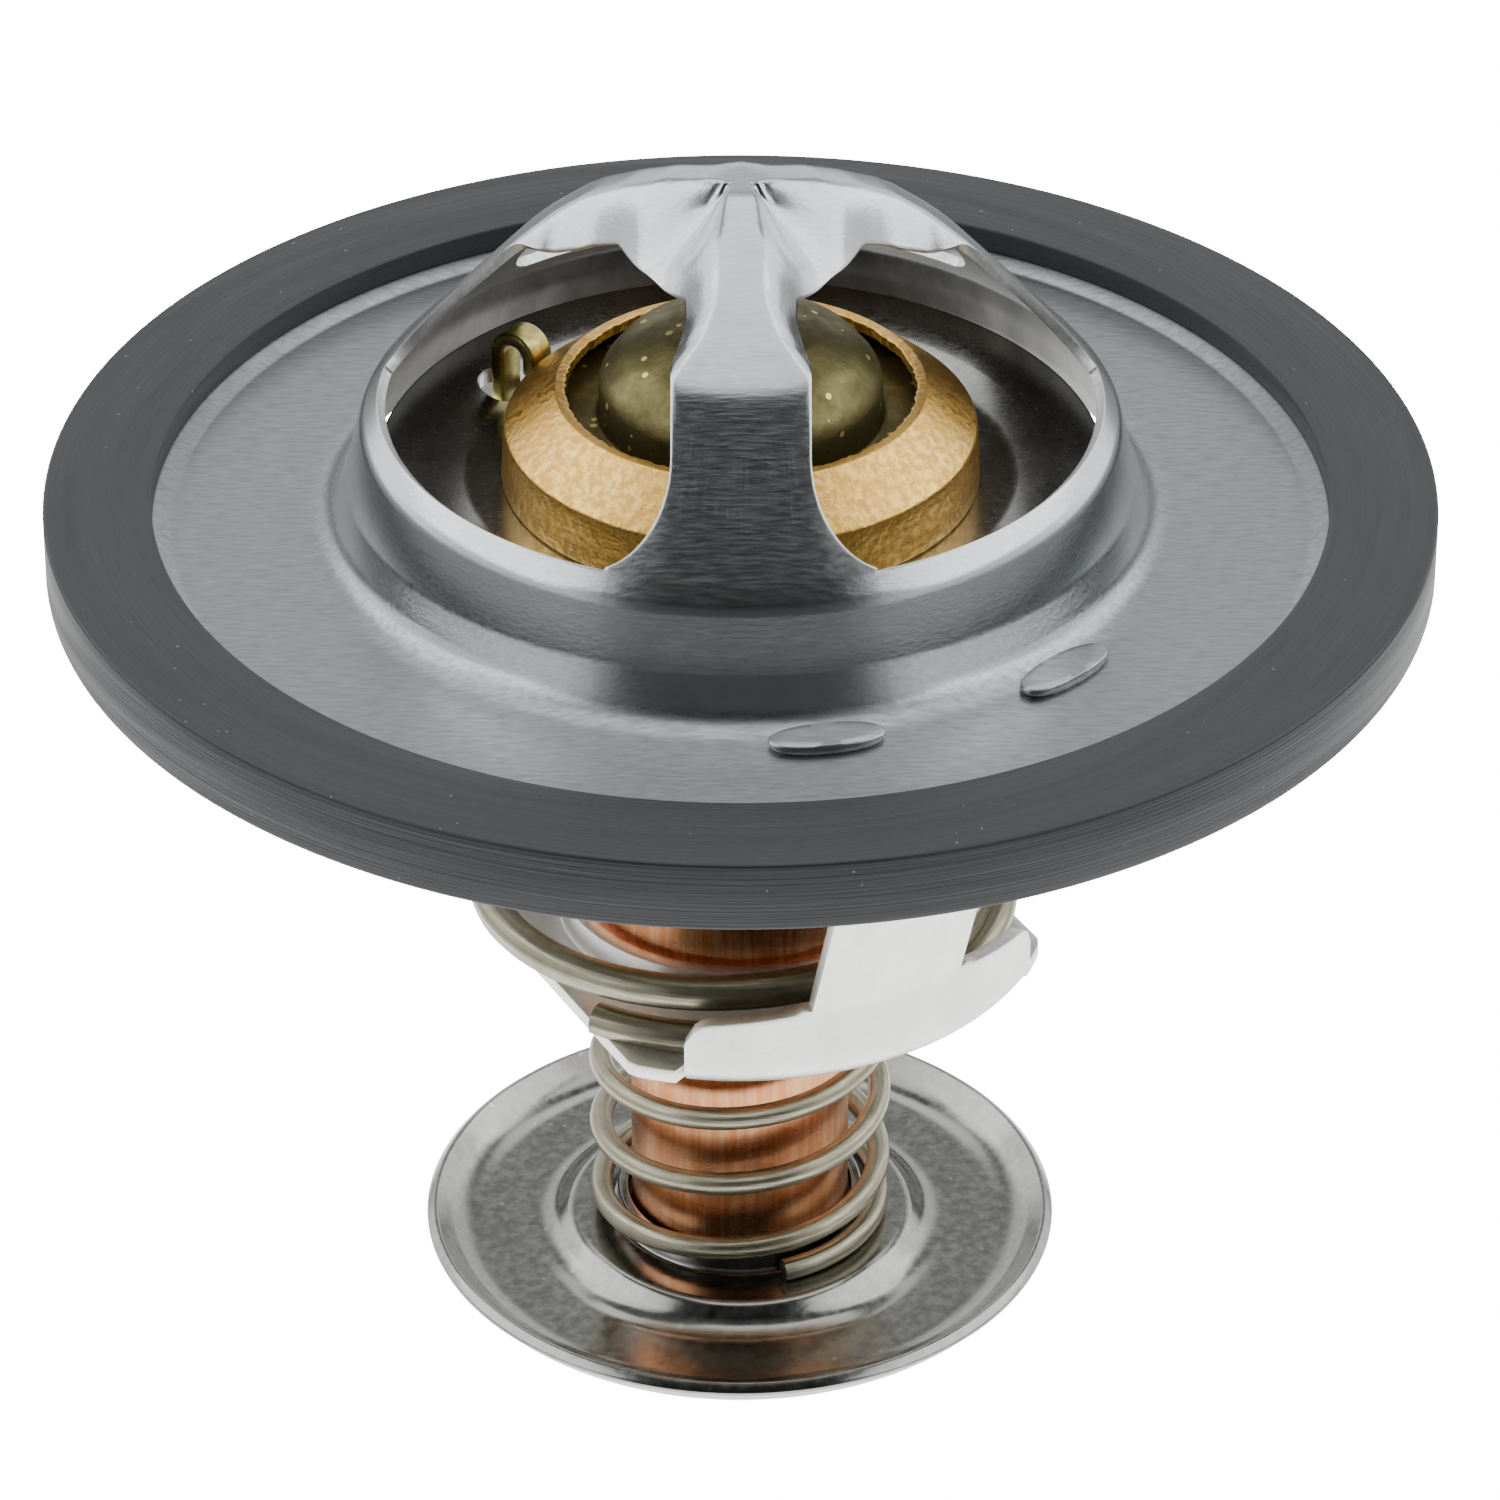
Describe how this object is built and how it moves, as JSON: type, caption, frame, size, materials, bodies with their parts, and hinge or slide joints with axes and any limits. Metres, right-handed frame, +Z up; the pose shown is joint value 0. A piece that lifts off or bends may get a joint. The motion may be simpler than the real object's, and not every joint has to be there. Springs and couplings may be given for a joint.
{
  "type": "engine thermostat",
  "caption": "Wax-element coolant valve: rubber-ringed flange with a pressed bridge, brass collar, copper cup, closing spring in a stirrup and a sprung bypass disc below.",
  "frame": {"origin": "on the axis, at the surface that the bypass disc stands on", "axes": "+Z up along the axis, from the bypass disc to the bridge; -Y towards the leg of the bridge that faces the picture's viewer"},
  "size_m": [0.067, 0.067, 0.0609],
  "materials": {
    "flange_steel": "satin pressed sheet",
    "seal_rubber": "moulded, matte",
    "bracket_steel": "matte pressed sheet",
    "piston_steel": "ground",
    "spring_steel": "drawn wire",
    "valve_steel": "satin pressed sheet",
    "cup_copper": "drawn copper",
    "wax": "cast wax",
    "boot_rubber": "moulded",
    "guide_brass": "dull plated",
    "collar_brass": "turned and crimped",
    "clip_steel": "satin",
    "disc_steel": "bright pressed sheet",
    "pin_brass": "yellow plated"
  },
  "bodies": {
    "frame": {"flange_bridge": "flange_steel", "rim_seal": "seal_rubber", "bracket": "bracket_steel", "piston": "piston_steel", "main_spring": "spring_steel"},
    "element": {"valve_plate": "valve_steel", "wax_cup": "cup_copper", "wax_pellet": "wax", "rubber_boot": "boot_rubber", "piston_guide": "guide_brass", "crimp_collar": "collar_brass", "stem_clip": "clip_steel", "bypass_spring": "spring_steel"},
    "bypass": {"bypass_disc": "disc_steel"},
    "vent": {"jiggle_pin": "pin_brass"}
  },
  "joints": [
    {"name": "valve_lift", "type": "slide", "parent": "frame", "child": "element", "axis": [0, 0, -1], "range_m": [0, 0.008], "stiffness_N_per_m": 2000, "springref_m": -0.008, "deforming": ["main_spring"]},
    {"name": "bypass_slide", "type": "slide", "parent": "element", "child": "bypass", "axis": [0, 0, 1], "range_m": [0, 0.005], "stiffness_N_per_m": 1000, "springref_m": -0.004, "deforming": ["bypass_spring"]},
    {"name": "vent_pin_rise", "type": "slide", "parent": "element", "child": "vent", "axis": [0, 0, 1], "range_m": [0, 0.0008]}
  ]
}
